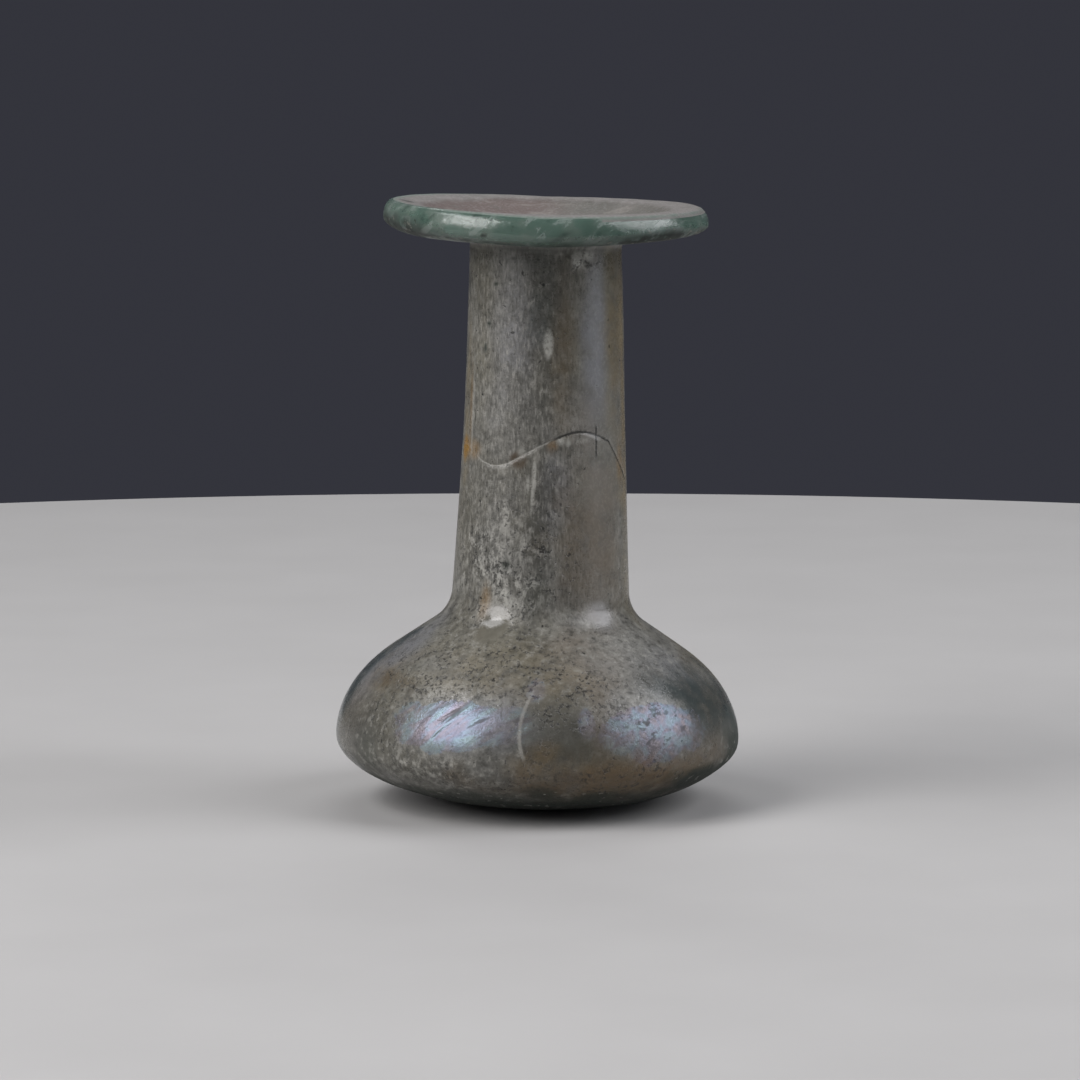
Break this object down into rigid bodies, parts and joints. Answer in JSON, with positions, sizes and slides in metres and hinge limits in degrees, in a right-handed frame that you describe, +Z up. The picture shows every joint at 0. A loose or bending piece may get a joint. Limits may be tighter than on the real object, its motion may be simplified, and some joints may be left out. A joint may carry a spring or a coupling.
{
  "type": "glass perfume flask",
  "caption": "Free-blown glass perfume flask with a squat bulb, a tall tapering neck and a wide flattened rim, hollow and open at the mouth.",
  "frame": {"origin": "on the ground, at the centre of the flask's footprint box, under the middle of the bulb", "axes": "+Z up, along the neck; -Y towards the viewer; the flask leans slightly towards +X"},
  "size_m": [0.0607, 0.0608, 0.0908],
  "materials": {
    "weathered_glass": "aged pale blue-green glass under thin grey-beige weathering with iridescent patches, clearer and greener at the rim"
  },
  "bodies": {
    "root": {"flask": "weathered_glass"}
  },
  "joints": []
}
